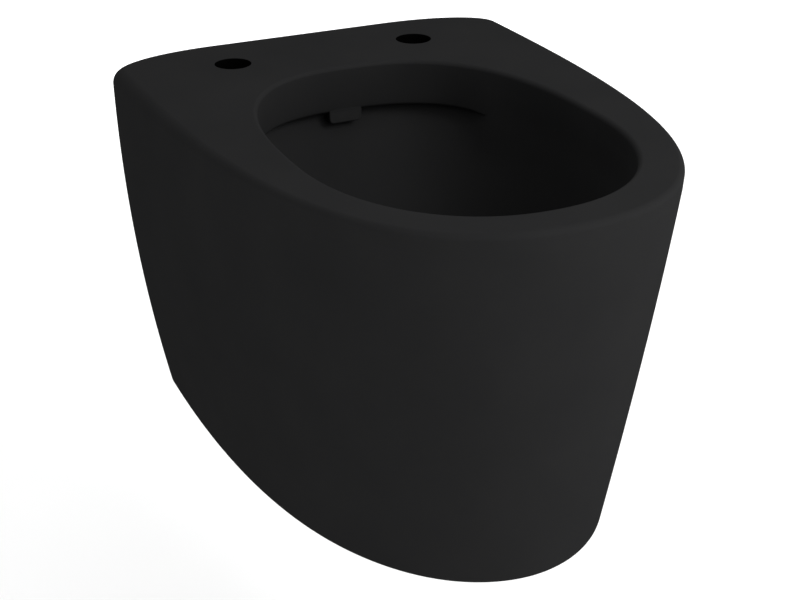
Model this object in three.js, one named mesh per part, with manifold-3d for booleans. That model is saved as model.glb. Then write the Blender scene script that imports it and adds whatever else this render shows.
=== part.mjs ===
// A wall-hung rimless toilet pan with concealed fixings, in millimetres, +Z up.
// The origin is on the wall face, midway between the two fixing studs. The pan reaches towards -Y.
// The fired pan is made the way a pottery makes it: separate cast sections, joined before firing.
import * as THREE from 'three';
import { mergeVertices } from 'three/addons/utils/BufferGeometryUtils.js';
import Module from 'manifold-3d';

const wasm = await Module();
wasm.setup();

// ---------------------------------------------------------------- driving dimensions

const RIM_Z = 80; // deck and rim above the studs
const PAN_HEIGHT = 283;
const BASE_Z = RIM_Z - PAN_HEIGHT;
const TOP_EDGE_R = 8;
const BASE_EDGE_R = 7;
const CERAMIC = 10; // wall thickness of the cast sections
const GAP = 0.3; // joint line between two sections

// Plan outline at the rim and at the underside. The back corners are quarter ellipses, and each flank
// is one cubic curve: bulge and flank place its first handle, nose places its second one.
const RIM_PLAN = {
  width: 335, length: 460, bulge: 9.4, flank: 0.723, nose: 0.734, cornerX: 92.6, cornerY: 37.7,
};
const BASE_PLAN = {
  width: 274.5, length: 413.7, bulge: 16.4, flank: 0.93, nose: 0.257, cornerX: 99, cornerY: 45.2,
};

// Egg-shaped opening: its widest line, half width, reach to the back and to the front.
const OPENING = { y: -285, halfWidth: 115, back: 182.6, front: 143, backPower: 2.56, frontPower: 2.17 };
const LIP_R = 3;
const DECK_THICKNESS = 14;
const DECK_UNDERSIDE = RIM_Z - DECK_THICKNESS;

// Back curtain: it hangs under the deck along the back of the opening and leans backwards. The flush
// water runs in the slot behind it.
const CURTAIN_BOTTOM = 42;
const CURTAIN_LEAN = 6;
const CURTAIN_THICKNESS = 7;
const CURTAIN_END_Y = -170;
const RINSE_SLOT = 9;

// Seat holes and fixing studs, both symmetric about the middle plane.
const SEAT_HOLE_X = 77.5;
const SEAT_HOLE_Y = -57.6;
const SEAT_HOLE_R = 14;
const STUD_X = 90;
const STUD_BORE_R = 15;

// Opening in the back wall, behind the inlet and the outlet.
const BACK_OPENING = { halfWidth: 62, bottom: -170 };

// Flush inlet and waste outlet.
const INLET_Z = 35;
const INLET_R = 27.5;
const INLET_DEPTH = 40;
const OUTLET_Z = -100;
const OUTLET_BORE_R = 45;
const OUTLET_SPIGOT_R = 51;
const OUTLET_END_Y = -10;
const TRAP_R = 25;
const TRAP_WALL = 8;
const SUMP_Z = -184;

// Draw screw: an M8 that lifts the wedge behind the head of the stud sleeve.
const SCREW_R = 4;
const RUNNING = 0.05; // radial clearance of a turning shaft

// ---------------------------------------------------------------- solids

// A closed geometry with shared vertices and its faces pointing out.
function closed(geometry) {
  const bare = new THREE.BufferGeometry();
  bare.setAttribute('position', geometry.getAttribute('position'));
  bare.setIndex(geometry.getIndex());
  const merged = mergeVertices(bare, 1e-4);
  const kept = [];
  const index = merged.getIndex().array;
  for (let i = 0; i < index.length; i += 3) {
    const [a, b, c] = [index[i], index[i + 1], index[i + 2]];
    if (a !== b && b !== c && c !== a) kept.push(a, b, c);
  }
  merged.setIndex(kept);
  if (signedVolume(merged) < 0) merged.setIndex(kept.reverse());
  return merged;
}

function signedVolume(geometry) {
  const at = geometry.getAttribute('position');
  const index = geometry.getIndex().array;
  const corner = [new THREE.Vector3(), new THREE.Vector3(), new THREE.Vector3()];
  let six = 0;
  for (let i = 0; i < index.length; i += 3) {
    corner.forEach((v, k) => v.fromBufferAttribute(at, index[i + k]));
    six += corner[0].dot(corner[1].clone().cross(corner[2]));
  }
  return six / 6;
}

function solid(geometry) {
  const mesh = closed(geometry);
  const vertProperties = new Float32Array(mesh.getAttribute('position').array);
  const triVerts = new Uint32Array(mesh.getIndex().array);
  return new wasm.Manifold(new wasm.Mesh({ numProp: 3, vertProperties, triVerts }));
}

function geometryOf(manifold) {
  const mesh = manifold.getMesh();
  const geometry = new THREE.BufferGeometry();
  geometry.setAttribute('position', new THREE.BufferAttribute(new Float32Array(mesh.vertProperties), 3));
  geometry.setIndex(Array.from(mesh.triVerts));
  return closed(geometry);
}

// A solid through rings of [x, y, z] points, all with the same number of points, closed by flat caps.
function loft(rings) {
  const count = rings[0].length;
  const points = rings.flat(2);
  const index = [];
  for (let k = 0; k + 1 < rings.length; k += 1) {
    for (let i = 0; i < count; i += 1) {
      const j = (i + 1) % count;
      const [a, b] = [k * count + i, k * count + j];
      index.push(a, b, b + count, a, b + count, a + count);
    }
  }
  [rings[0], rings.at(-1)].forEach((ring, end) => {
    const centre = [0, 1, 2].map((axis) => ring.reduce((sum, p) => sum + p[axis], 0) / count);
    const hub = points.push(...centre) / 3 - 1;
    const first = end * (rings.length - 1) * count;
    for (let i = 0; i < count; i += 1) {
      const [a, b] = [first + i, first + ((i + 1) % count)];
      if (end) index.push(hub, a, b);
      else index.push(hub, b, a);
    }
  });
  const geometry = new THREE.BufferGeometry();
  geometry.setAttribute('position', new THREE.BufferAttribute(new Float32Array(points), 3));
  geometry.setIndex(index);
  return solid(geometry);
}

function box([x0, x1], [y0, y1], [z0, z1]) {
  const geometry = new THREE.BoxGeometry(x1 - x0, y1 - y0, z1 - z0);
  geometry.translate((x0 + x1) / 2, (y0 + y1) / 2, (z0 + z1) / 2);
  return solid(geometry);
}

// A solid of revolution about the Y direction. The profile is a closed loop of [radius, y] corners,
// or an open one that starts and ends on the axis.
function turned(profile, sides = 24) {
  const corners = profile.map(([r, y]) => new THREE.Vector2(r, y));
  if (profile[0][0] > 0) corners.push(corners[0].clone());
  return new THREE.LatheGeometry(corners, sides);
}

function cylinderY(radius, [y0, y1], x = 0, z = 0, sides = 24) {
  const geometry = turned([[0, y0], [radius, y0], [radius, y1], [0, y1]], sides);
  geometry.translate(x, 0, z);
  return solid(geometry);
}

function cylinderZ(radius, [z0, z1], x = 0, y = 0, sides = 24) {
  const geometry = turned([[0, z0], [radius, z0], [radius, z1], [0, z1]], sides);
  geometry.rotateX(Math.PI / 2);
  geometry.translate(x, y, 0);
  return solid(geometry);
}

// The corner radius of a faceted hole whose flats stay clear of a shaft of the given radius.
function clearHole(shaftRadius, clearance = RUNNING, sides = 24) {
  return (shaftRadius + clearance) / Math.cos(Math.PI / sides);
}

// ---------------------------------------------------------------- the outer form

function mix(a, b, share) {
  return a + (b - a) * share;
}

function planAt(z) {
  const drop = (RIM_Z - TOP_EDGE_R - z) / (PAN_HEIGHT - TOP_EDGE_R);
  const share = Math.min(Math.max(drop, 0), 1);
  const plan = {};
  for (const key of Object.keys(RIM_PLAN)) plan[key] = mix(RIM_PLAN[key], BASE_PLAN[key], share);
  plan.width = mix(RIM_PLAN.width, BASE_PLAN.width, share ** 2);
  return plan;
}

// Right half of the plan outline, from the nose to the middle of the wall face.
function halfOutline(plan, flankSteps = 16, cornerSteps = 6) {
  const half = plan.width / 2;
  const nose = new THREE.Vector2(0, -plan.length);
  const noseHandle = new THREE.Vector2(plan.nose * half, -plan.length);
  const flankY = -plan.cornerY - plan.flank * (plan.length - plan.cornerY);
  const flankHandle = new THREE.Vector2(half + plan.bulge, flankY);
  const flankEnd = new THREE.Vector2(half, -plan.cornerY);
  const points = new THREE.CubicBezierCurve(nose, noseHandle, flankHandle, flankEnd).getPoints(flankSteps);
  const { cornerX, cornerY } = plan;
  const corner = new THREE.EllipseCurve(half - cornerX, -cornerY, cornerX, cornerY, 0, Math.PI / 2);
  points.push(...corner.getPoints(cornerSteps).slice(1));
  points.push(new THREE.Vector2(0, 0));
  return points;
}

function fullOutline(plan) {
  const right = halfOutline(plan);
  const left = right.slice(1, -1).reverse().map((p) => new THREE.Vector2(-p.x, p.y));
  return [...right, ...left];
}

// A closed outline moved inwards by a distance (outwards if it is negative).
function inset(outline, distance) {
  const count = outline.length;
  return outline.map((p, i) => {
    const along = outline[(i + 1) % count].clone().sub(outline[(i + count - 1) % count]).normalize();
    return new THREE.Vector2(p.x - along.y * distance, p.y + along.x * distance);
  });
}

function atHeight(outline, z) {
  return outline.map((p) => [p.x, p.y, z]);
}

function panRing(z, distance = 0) {
  return atHeight(inset(fullOutline(planAt(z)), distance), z);
}

// Levels of a rounded edge of radius r: [height above the edge's start, inset].
function roundedEdge(r, steps = 3) {
  const levels = [];
  for (let k = 0; k <= steps; k += 1) {
    const turn = (k / steps) * (Math.PI / 2);
    levels.push([r * Math.sin(turn), r * (1 - Math.cos(turn))]);
  }
  return levels;
}

function outerForm(steps = 7) {
  const rings = [];
  for (const [rise, inwards] of roundedEdge(BASE_EDGE_R).reverse()) {
    rings.push(panRing(BASE_Z + BASE_EDGE_R - rise, inwards));
  }
  const [low, high] = [BASE_Z + BASE_EDGE_R, RIM_Z - TOP_EDGE_R];
  for (let k = 1; k < steps; k += 1) rings.push(panRing(mix(low, high, k / steps)));
  for (const [rise, inwards] of roundedEdge(TOP_EDGE_R)) rings.push(panRing(high + rise, inwards));
  return loft(rings);
}

// The hollow inside the skirt, one wall thickness in from the outer form.
function innerForm(steps = 6) {
  const rings = [];
  for (let k = 0; k <= steps; k += 1) {
    rings.push(panRing(mix(BASE_Z + CERAMIC, RIM_Z, k / steps), CERAMIC));
  }
  return loft(rings);
}

// ---------------------------------------------------------------- the opening and the bowl

// Egg outline: two half superellipses that meet on the widest line.
function egg({ y, halfWidth, back, front, backPower, frontPower }, steps = 40) {
  const points = [];
  for (let i = 0; i < steps; i += 1) {
    const turn = (i / steps) * 2 * Math.PI;
    const [c, s] = [Math.cos(turn), Math.sin(turn)];
    const [reach, power] = s >= 0 ? [back, backPower] : [front, frontPower];
    const px = Math.sign(c) * Math.abs(c) ** (2 / power) * halfWidth;
    const py = y + Math.sign(s) * Math.abs(s) ** (2 / power) * reach;
    points.push(new THREE.Vector2(px, py));
  }
  return points;
}

// The opening's wall leans back by the curtain's lean at its back, and stands upright at its sides.
function openingAt(z) {
  const lean = CURTAIN_LEAN * (RIM_Z - LIP_R - z) / (RIM_Z - LIP_R - CURTAIN_BOTTOM);
  return egg({ ...OPENING, back: OPENING.back + lean });
}

function openingForm(bottom) {
  const rings = [atHeight(openingAt(bottom), bottom)];
  for (const [rise, inwards] of roundedEdge(LIP_R)) {
    rings.push(atHeight(inset(egg(OPENING), -inwards), RIM_Z - LIP_R + rise));
  }
  rings.push(atHeight(inset(egg(OPENING), -LIP_R), RIM_Z + LIP_R));
  return loft(rings);
}

// Bowl profile: at each height, the back, front and half width of the inner surface.
const SLOT_DEPTH = CURTAIN_LEAN + CURTAIN_THICKNESS + RINSE_SLOT;
const RIM_BACK = OPENING.y + OPENING.back;
const RIM_FRONT = OPENING.y - OPENING.front;
const BOWL_PROFILE = [
  { z: DECK_UNDERSIDE, back: RIM_BACK + SLOT_DEPTH, front: RIM_FRONT, halfWidth: OPENING.halfWidth },
  { z: 38, back: RIM_BACK + SLOT_DEPTH - 3, front: RIM_FRONT + 1, halfWidth: 114.5 },
  { z: 0, back: -108, front: -417, halfWidth: 107 },
  { z: -60, back: -160, front: -376, halfWidth: 83 },
  { z: -120, back: -203, front: -314, halfWidth: 53 },
  { z: -165, back: -212, front: -275, halfWidth: 36 },
  { z: SUMP_Z, back: -222, front: -262, halfWidth: 22 },
];

function bowlAt(z) {
  const top = BOWL_PROFILE[0].z;
  const share = (top - z) / (top - SUMP_Z);
  const level = {};
  for (const key of ['back', 'front', 'halfWidth']) {
    const knots = BOWL_PROFILE.map((p) => new THREE.Vector2((top - p.z) / (top - SUMP_Z), p[key]));
    level[key] = splineValue(knots, share);
  }
  return level;
}

// Value at x of a smooth curve through knots that are sorted by x.
function splineValue(knots, x) {
  const last = knots.length - 1;
  let k = 0;
  while (k < last - 1 && x > knots[k + 1].x) k += 1;
  const slope = (i) => {
    const [a, b] = [Math.max(i - 1, 0), Math.min(i + 1, last)];
    return (knots[b].y - knots[a].y) / (knots[b].x - knots[a].x);
  };
  const span = knots[k + 1].x - knots[k].x;
  const t = Math.min(Math.max((x - knots[k].x) / span, 0), 1);
  const [t2, t3] = [t * t, t * t * t];
  const ends = knots[k].y * (2 * t3 - 3 * t2 + 1) + knots[k + 1].y * (3 * t2 - 2 * t3);
  return ends + span * (slope(k) * (t3 - 2 * t2 + t) + slope(k + 1) * (t3 - t2));
}

function bowlRing(z, outwards) {
  const { back, front, halfWidth } = bowlAt(Math.max(z, SUMP_Z));
  const depth = Math.max((DECK_UNDERSIDE - z) / (DECK_UNDERSIDE - SUMP_Z), 0);
  const widest = mix(OPENING.y, (back + front) / 2, Math.min(2 * depth, 1));
  const outline = egg({
    y: widest,
    halfWidth,
    back: back - widest,
    front: widest - front,
    backPower: mix(OPENING.backPower, 2, Math.min(depth, 1)),
    frontPower: mix(OPENING.frontPower, 2, Math.min(depth, 1)),
  });
  return atHeight(inset(outline, -outwards), z);
}

function bowlForm(outwards, bottom, top, steps = 10) {
  const rings = [];
  for (let k = 0; k <= steps; k += 1) rings.push(bowlRing(mix(bottom, top, k / steps), outwards));
  return loft(rings);
}

const BOWL_WALL = 9;
const bowlInside = bowlForm(0, SUMP_Z, DECK_UNDERSIDE);
const bowlInsideClear = bowlForm(-GAP, SUMP_Z, DECK_UNDERSIDE + 1);
const bowlOutside = bowlForm(BOWL_WALL, SUMP_Z - BOWL_WALL + 1, DECK_UNDERSIDE);
const bowlOutsideClear = bowlForm(BOWL_WALL + GAP, SUMP_Z - BOWL_WALL + 1 - GAP, DECK_UNDERSIDE);

// ---------------------------------------------------------------- ceramic sections

function rimDeck() {
  const slab = outerForm().intersect(box([-300, 300], [-600, 100], [DECK_UNDERSIDE, RIM_Z + 1]));
  let deck = slab.subtract(openingForm(DECK_UNDERSIDE - 1));
  for (const side of [-1, 1]) {
    deck = deck.subtract(cylinderZ(SEAT_HOLE_R, [0, RIM_Z + 1], side * SEAT_HOLE_X, SEAT_HOLE_Y));
  }
  return deck.add(curtain());
}

function curtain() {
  const outside = loft([CURTAIN_BOTTOM, DECK_UNDERSIDE + 1].map((z) => (
    atHeight(inset(openingAt(z), -CURTAIN_THICKNESS), z))));
  const band = outside.intersect(bowlInsideClear).subtract(openingForm(CURTAIN_BOTTOM - 1));
  return band.intersect(box([-200, 200], [CURTAIN_END_Y, 0], [0, RIM_Z]));
}

function outerShell() {
  const skirt = outerForm().intersect(box([-300, 300], [-600, 100], [BASE_Z - 1, DECK_UNDERSIDE]));
  let shell = skirt.subtract(innerForm());
  const { halfWidth, bottom } = BACK_OPENING;
  shell = shell.subtract(box([-halfWidth, halfWidth], [-40, 20], [bottom, RIM_Z]));
  for (const side of [-1, 1]) {
    shell = shell.subtract(cylinderY(STUD_BORE_R, [-40, 20], side * STUD_X));
  }
  return shell;
}

const DUCT = { halfWidth: 25, low: 42, high: 61 };

function bowl() {
  const ductMouth = box([-DUCT.halfWidth, DUCT.halfWidth], [-95, -60], [DUCT.low, DUCT.high]);
  const trapMouth = cylinderY(TRAP_R, [-245, -180], 0, SUMP_Z + TRAP_R + 1);
  return bowlOutside.subtract(bowlInside).subtract(ductMouth).subtract(trapMouth);
}

// The bore steps down from the round inlet socket to the wide flat duct behind the curtain.
function flushChannel() {
  const block = box([-37, 37], [-92, 0], [-14, DECK_UNDERSIDE - GAP]);
  const socket = cylinderY(INLET_R, [-INLET_DEPTH, 10], 0, INLET_Z);
  const duct = loft([ductRing(-INLET_DEPTH + 1, 0), ductRing(-95, 1)]);
  return block.subtract(bowlOutsideClear).subtract(socket).subtract(duct);
}

// A section across the duct at y: round at the socket (share 0), a flat slot at the bowl (share 1).
function ductRing(y, share, sides = 32) {
  const [socketR, middle] = [INLET_R - 4, (DUCT.low + DUCT.high) / 2];
  const ring = [];
  for (let i = 0; i < sides; i += 1) {
    const turn = (i / sides) * 2 * Math.PI;
    const power = mix(1, 0.4, share);
    const u = Math.sign(Math.cos(turn)) * Math.abs(Math.cos(turn)) ** power;
    const v = Math.sign(Math.sin(turn)) * Math.abs(Math.sin(turn)) ** power;
    const x = u * mix(socketR, DUCT.halfWidth - 1, share);
    const z = mix(INLET_Z, middle, share) + v * mix(socketR, middle - DUCT.low - 1, share);
    ring.push([x, y, z]);
  }
  return ring;
}

// Trap centre line in the middle plane: along the sump, up to the weir, over it and down to the outlet.
const TRAP_START = { y: -240, z: SUMP_Z + TRAP_R + 1 };
const TRAP_LEGS = [
  { run: 35 },
  { radius: 45, turn: 60 },
  { run: 65 },
  { radius: 38, turn: -110 },
  { run: 22 },
];

function trapPath() {
  const at = { ...TRAP_START, heading: 0 };
  const path = [{ ...at }];
  for (const { run = 0, radius = 0, turn = 0 } of TRAP_LEGS) {
    const steps = turn ? Math.ceil(Math.abs(turn) / 12) : 2;
    for (let k = 0; k < steps; k += 1) {
      const bend = THREE.MathUtils.degToRad(turn / steps);
      const step = turn ? 2 * radius * Math.sin(Math.abs(bend) / 2) : run / steps;
      at.heading += bend / 2;
      at.y += step * Math.cos(at.heading);
      at.z += step * Math.sin(at.heading);
      at.heading += bend / 2;
      path.push({ ...at });
    }
  }
  return path;
}

function trapTube(radius, sides = 24) {
  return loft(trapPath().map(({ y, z, heading }) => {
    const ring = [];
    for (let i = 0; i < sides; i += 1) {
      const turn = (i / sides) * 2 * Math.PI;
      const up = radius * Math.sin(turn);
      ring.push([radius * Math.cos(turn), y - up * Math.sin(heading), z + up * Math.cos(heading)]);
    }
    return ring;
  }));
}

function trapway() {
  const chamberY = -78;
  const spigot = cylinderY(OUTLET_SPIGOT_R, [chamberY, OUTLET_END_Y], 0, OUTLET_Z, 40);
  const chamber = cylinderY(OUTLET_BORE_R, [chamberY + TRAP_WALL, 10], 0, OUTLET_Z, 40);
  const wall = trapTube(TRAP_R + TRAP_WALL).add(spigot);
  return wall.subtract(trapTube(TRAP_R)).subtract(chamber).subtract(bowlOutsideClear);
}

// ---------------------------------------------------------------- flush fittings

const BLOCK = { halfWidth: 14.5, bottom: 32.5, front: RIM_BACK + CURTAIN_LEAN - 1 };
const SLOT_BACK = RIM_BACK + SLOT_DEPTH;

// The small block under the curtain that splits the flush to the left and to the right.
function flushDeflector() {
  const across = [-BLOCK.halfWidth, BLOCK.halfWidth];
  const foot = box(across, [BLOCK.front, SLOT_BACK - 4], [BLOCK.bottom, CURTAIN_BOTTOM - GAP]);
  const stemFront = RIM_BACK + CURTAIN_LEAN + CURTAIN_THICKNESS + 2 * GAP;
  const stem = box(across, [stemFront, SLOT_BACK - 4], [CURTAIN_BOTTOM - 1, DUCT.high]);
  return foot.add(stem).intersect(bowlInsideClear);
}

function deflectorGasket() {
  const [middle, half] = [(DUCT.low + DUCT.high) / 2, (DUCT.high - DUCT.low) / 2 - GAP];
  const outer = DUCT.halfWidth - GAP;
  const lip = 3;
  const frame = box([-outer, outer], [SLOT_BACK, SLOT_BACK + 4], [middle - half, middle + half]);
  const inner = half - lip;
  return frame.subtract(box([-outer + lip, outer - lip], [-100, -50], [middle - inner, middle + inner]));
}

function inletSeal() {
  const [outer, inner] = [INLET_R - 0.5, 22];
  const profile = [[inner + 1, -36], [outer, -36], [outer, -2], [inner + 2, -2]];
  for (const y of [-6, -14, -22]) profile.push([inner + 2, y], [inner, y - 3], [inner, y - 5]);
  return turned(profile);
}

// ---------------------------------------------------------------- concealed fixings

// Each fixing hangs on a sleeve that screws onto the wall's M12 stud. A housing behind the back wall
// surrounds the sleeve. A forked wedge, lifted by the upright screw, goes between the housing's front
// plate and the sleeve's head, and so pulls the pan to the wall. Positions are relative to the stud.
const SCREW_DX = SEAT_HOLE_X - STUD_X;
const HOUSING = { back: -17, front: -72, top: 24, bottom: -22, halfWidth: 20, wall: 4 };
const SLEEVE = {
  barrelR: 11, barrelEnd: -46, neckR: 7, headStart: -83, headEnd: -91, headR: 12, threadR: 5.4,
};
const HEAD_PASS_R = 13;
const SCREW = {
  headR: 6.5, headLow: 26, headTop: 34, end: -62, grooveR: 3.2, grooveLow: 17.6, grooveTop: 19.2,
  socketR: 3.4, socketDepth: 5,
};
const WEDGE = {
  tip: 13, slopeEnd: -20, shelfTop: -24, base: -34, halfWidth: 16, thin: 5, thick: 12,
};

function studSleeve() {
  const { barrelR, barrelEnd, neckR, headStart, headEnd, headR, threadR } = SLEEVE;
  return turned([
    [0, -44], [threadR, -42], [threadR, -1.5], [barrelR - 1, -1.5], [barrelR, -2.5], [barrelR, barrelEnd],
    [neckR, barrelEnd - 3], [neckR, headStart], [headR, headStart], [headR, headEnd + 1],
    [headR - 1, headEnd], [4, headEnd], [4, headEnd + 5], [0, headEnd + 5],
  ]);
}

function holeBush() {
  const [outer, inner, flangeR] = [STUD_BORE_R - 0.5, SLEEVE.barrelR + 0.4, 17.5];
  const [flangeStart, flangeEnd] = [-CERAMIC - 4.5, HOUSING.back + GAP];
  return turned([
    [inner, -4.5], [outer, -4.5], [outer, flangeStart], [flangeR, flangeStart],
    [flangeR, flangeEnd], [inner, flangeEnd],
  ]);
}

function clampHousing(dx) {
  const { back, front, top, bottom, halfWidth, wall } = HOUSING;
  const reach = halfWidth - 8;
  const across = [Math.min(-halfWidth, dx - reach), Math.max(halfWidth, dx + reach)];
  const inside = [across[0] + wall, across[1] - wall];
  const hollow = box(inside, [front + wall, back - wall], [bottom - 1, top - wall]);
  const body = box(across, [front, back], [bottom, top]).subtract(hollow);
  const passage = cylinderY(HEAD_PASS_R, [front - 1, back + 1]);
  const screwHole = cylinderZ(clearHole(SCREW_R), [0, top + 1], dx, SEAT_HOLE_Y);
  return geometryOf(body.subtract(passage).subtract(screwHole));
}

// The fork's front face slopes, so that it grips harder as it rises behind the sleeve's head. A shelf
// under the housing carries the fork and holds the screw's thread.
function drawWedge(dx) {
  const { tip, slopeEnd, shelfTop, base, halfWidth, thin, thick } = WEDGE;
  const flat = HOUSING.front - GAP;
  const section = new THREE.Shape();
  section.moveTo(flat, tip);
  section.lineTo(flat, base);
  section.lineTo(flat - thick, base);
  section.lineTo(flat - thick, slopeEnd);
  section.lineTo(flat - thin, tip);
  const slab = new THREE.ExtrudeGeometry(section, { depth: 2 * halfWidth, bevelEnabled: false });
  const [alongY, alongZ, alongX] = [[0, 1, 0], [0, 0, 1], [1, 0, 0]].map((v) => new THREE.Vector3(...v));
  slab.applyMatrix4(new THREE.Matrix4().makeBasis(alongY, alongZ, alongX));
  slab.translate(-halfWidth, 0, 0);
  const slot = SLEEVE.neckR + 0.8;
  const shelfAcross = [Math.min(-halfWidth, dx - 8), Math.max(halfWidth, dx + 8)];
  const shelf = box(shelfAcross, [flat - 1, SEAT_HOLE_Y + 8], [base, shelfTop]);
  const slotRoot = cylinderY(slot, [-100, -60]);
  const fork = solid(slab).subtract(slotRoot).subtract(box([-slot, slot], [-100, -60], [0, 20]));
  const screwHole = cylinderZ(clearHole(SCREW_R), [-50, 0], dx, SEAT_HOLE_Y);
  return geometryOf(fork.add(shelf).subtract(screwHole));
}

// Upright pieces are turned about their own axis and stood up along Z.
function upright(profile) {
  const geometry = turned(profile);
  geometry.rotateX(Math.PI / 2);
  return geometry;
}

function drawScrew() {
  const { headR, headLow, headTop, end, grooveR, grooveLow, grooveTop, socketR, socketDepth } = SCREW;
  const blank = upright([
    [0, end], [SCREW_R - 1, end], [SCREW_R, end + 1], [SCREW_R, grooveLow], [grooveR, grooveLow],
    [grooveR, grooveTop], [SCREW_R, grooveTop], [SCREW_R, headLow], [headR, headLow],
    [headR, headTop - 0.8], [headR - 0.8, headTop], [0, headTop],
  ]);
  const hexSocket = cylinderZ(socketR, [headTop - socketDepth, headTop + 1], 0, 0, 6);
  return geometryOf(solid(blank).subtract(hexSocket));
}

function thrustWasher() {
  const [inner, outer, low, high] = [clearHole(SCREW_R, 0.3), 8.5, HOUSING.top + 0.2, SCREW.headLow - GAP];
  return upright([[inner, low], [outer, low], [outer, high], [inner, high]]);
}

// An open spring clip in the screw's groove, just under the housing's top plate.
function retainingClip() {
  const [inner, outer] = [clearHole(SCREW.grooveR), 6.5];
  const [low, high] = [SCREW.grooveLow + 0.2, SCREW.grooveTop - 0.2];
  const ring = upright([[inner, low], [outer, low], [outer, high], [inner, high]]);
  return geometryOf(solid(ring).subtract(box([-2.4, 2.4], [0, 10], [0, 30])));
}

// ---------------------------------------------------------------- finishes

const FINISH = {
  ceramic: { color: 0x232324, roughness: 0.6, metalness: 0 },
  blackPlastic: { color: 0x262627, roughness: 0.55, metalness: 0 },
  nylon: { color: 0x55585b, roughness: 0.6, metalness: 0 },
  rubber: { color: 0x161616, roughness: 0.85, metalness: 0 },
  bush: { color: 0xb9b7ae, roughness: 0.55, metalness: 0 },
  zincSteel: { color: 0xa9adb0, roughness: 0.35, metalness: 1 },
  dieCast: { color: 0x8c8f92, roughness: 0.5, metalness: 1 },
  springSteel: { color: 0x4c4c4e, roughness: 0.4, metalness: 1 },
};

function piece(name, shape, finish) {
  const geometry = shape.isBufferGeometry ? closed(shape) : geometryOf(shape);
  geometry.computeVertexNormals();
  const mesh = new THREE.Mesh(geometry, new THREE.MeshStandardMaterial(FINISH[finish]));
  mesh.name = name;
  return mesh;
}

// ---------------------------------------------------------------- assembly

function fixingSet(side) {
  const hand = side < 0 ? 'left' : 'right';
  const dx = side * SCREW_DX;
  const fixing = new THREE.Group();
  fixing.position.set(side * STUD_X, 0, 0);
  fixing.add(piece(`stud_sleeve_${hand}`, studSleeve(), 'zincSteel'));
  fixing.add(piece(`hole_bush_${hand}`, holeBush(), 'bush'));
  fixing.add(piece(`clamp_housing_${hand}`, clampHousing(dx), 'nylon'));
  fixing.add(piece(`draw_wedge_${hand}`, drawWedge(dx), 'dieCast'));
  const onScrew = new THREE.Group();
  onScrew.position.set(dx, SEAT_HOLE_Y, 0);
  onScrew.add(piece(`draw_screw_${hand}`, drawScrew(), 'zincSteel'));
  onScrew.add(piece(`thrust_washer_${hand}`, thrustWasher(), 'zincSteel'));
  onScrew.add(piece(`retaining_clip_${hand}`, retainingClip(), 'springSteel'));
  fixing.add(onScrew);
  return fixing;
}

const pan = new THREE.Group();
pan.add(piece('rim_and_deck', rimDeck(), 'ceramic'));
pan.add(piece('outer_shell', outerShell(), 'ceramic'));
pan.add(piece('bowl', bowl(), 'ceramic'));
pan.add(piece('trapway', trapway(), 'ceramic'));
pan.add(piece('flush_channel', flushChannel(), 'ceramic'));
pan.add(piece('flush_deflector', flushDeflector(), 'blackPlastic'));
pan.add(piece('deflector_gasket', deflectorGasket(), 'rubber'));
const seal = piece('inlet_seal', inletSeal(), 'rubber');
seal.position.z = INLET_Z;
pan.add(seal, fixingSet(-1), fixingSet(1));

export default pan;
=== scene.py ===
"""A wall-hung rimless toilet pan in matte black ceramic, with its concealed fixings."""

import math

import bmesh
import bpy
import numpy as np
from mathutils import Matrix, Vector


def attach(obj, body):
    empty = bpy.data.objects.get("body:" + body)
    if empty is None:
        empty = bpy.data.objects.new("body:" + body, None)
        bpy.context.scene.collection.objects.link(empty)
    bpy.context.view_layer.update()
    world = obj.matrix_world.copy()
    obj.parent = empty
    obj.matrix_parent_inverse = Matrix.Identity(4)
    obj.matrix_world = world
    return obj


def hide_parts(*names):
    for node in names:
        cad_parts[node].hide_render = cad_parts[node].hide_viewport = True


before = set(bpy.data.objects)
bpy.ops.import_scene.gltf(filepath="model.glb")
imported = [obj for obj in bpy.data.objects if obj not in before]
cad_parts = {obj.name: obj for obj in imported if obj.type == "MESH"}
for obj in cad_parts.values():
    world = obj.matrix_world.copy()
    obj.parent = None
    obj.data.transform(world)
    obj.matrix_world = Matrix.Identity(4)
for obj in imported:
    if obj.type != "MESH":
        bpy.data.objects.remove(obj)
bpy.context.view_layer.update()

MM = 0.001

# ---------------------------------------------------------------- dimensions, in millimetres, as in the CAD

RIM_Z, BASE_Z = 80.0, -203.0
# The CAD rounds the deck's edge by 8 mm all round, and the sides start under it. Here the radius varies.
TOP_EDGE_R = 8.0
NOSE_EDGE_R, FLANK_EDGE_R, WALL_EDGE_R = 4.5, 10.5, 6.5
BASE_EDGE = dict(nose_r=3.5, wall_r=14.5, height=16.0)
CERAMIC = 10.0
DECK_UNDERSIDE = 66.0
RIM_PLAN = dict(width=335.0, length=460.0, bulge=9.4, flank=0.723, nose=0.734, corner_x=92.6, corner_y=37.7)
BASE_PLAN = dict(width=274.5, length=413.7, bulge=16.4, flank=0.93, nose=0.257, corner_x=99.0, corner_y=45.2)
OPENING = dict(y=-285.0, half_width=115.0, back=182.6, front=143.0, back_power=2.56, front_power=2.17)
LIP_R, FRONT_LIP_R = 3.0, 3.8  # at the back of the opening, and round its front
RIM_BACK = OPENING["y"] + OPENING["back"]
RIM_FRONT = OPENING["y"] - OPENING["front"]
CURTAIN_BOTTOM, CURTAIN_LEAN, CURTAIN_THICKNESS, RINSE_SLOT = 42.0, 6.0, 7.0, 9.0
CURTAIN_END_Y, CURTAIN_FULL_Y = -160.0, -118.0
CURTAIN_EDGE_R, CURTAIN_RUN_OUT, CURTAIN_SUNK = 2.4, 14.0, 3.0
SLOT_DEPTH = CURTAIN_LEAN + CURTAIN_THICKNESS + RINSE_SLOT
SEAT_HOLE = Vector((77.5, -57.6))
SEAT_HOLE_R = 14.0
STUD_X, STUD_BORE_R = 90.0, 15.0
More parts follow.
